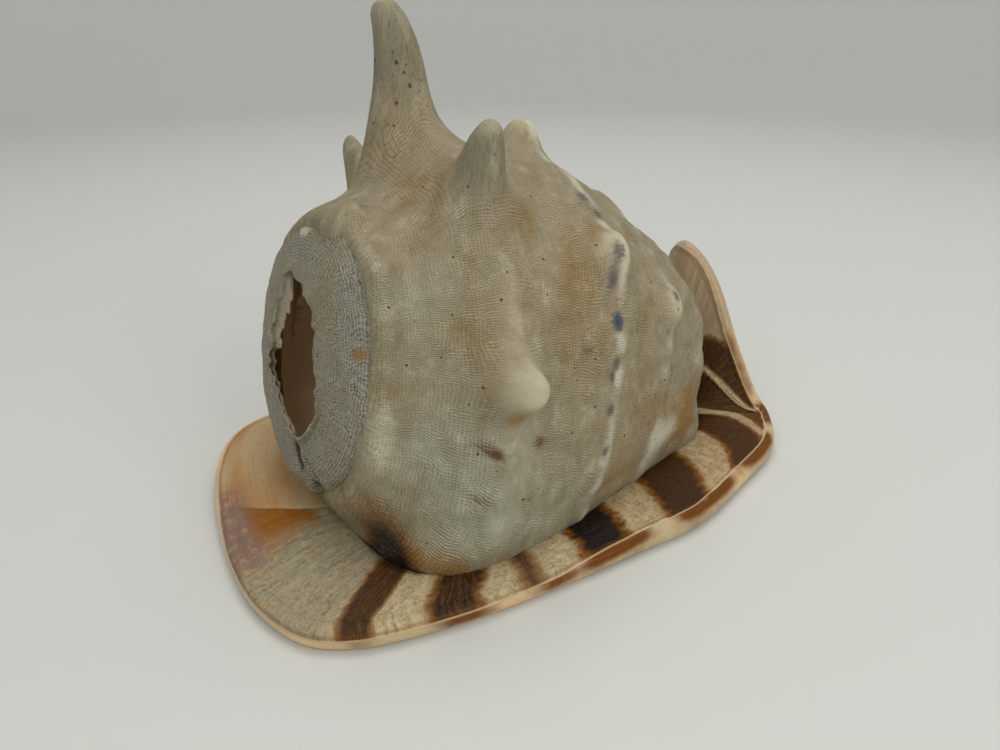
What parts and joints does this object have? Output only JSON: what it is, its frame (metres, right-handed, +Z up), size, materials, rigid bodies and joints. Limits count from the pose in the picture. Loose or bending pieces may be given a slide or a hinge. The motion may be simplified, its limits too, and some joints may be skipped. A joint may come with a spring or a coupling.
{
  "type": "horned helmet shell",
  "caption": "Large empty sea snail shell lying on its broad flat lips, with blunt horns, a broken-open spire, a slot-like mouth below and an upturned canal end.",
  "frame": {"origin": "middle of the bounding box in X and Y, at the height of the table that the lips rest on", "axes": "+X from the broken spire to the siphonal canal, -Y to the outer lip, +Z up out of the table"},
  "size_m": [0.2548, 0.1778, 0.195],
  "materials": {
    "shell": "dull porous shell with glossy orange-brown and cream lips"
  },
  "bodies": {
    "root": {"shell": "shell"}
  },
  "joints": []
}
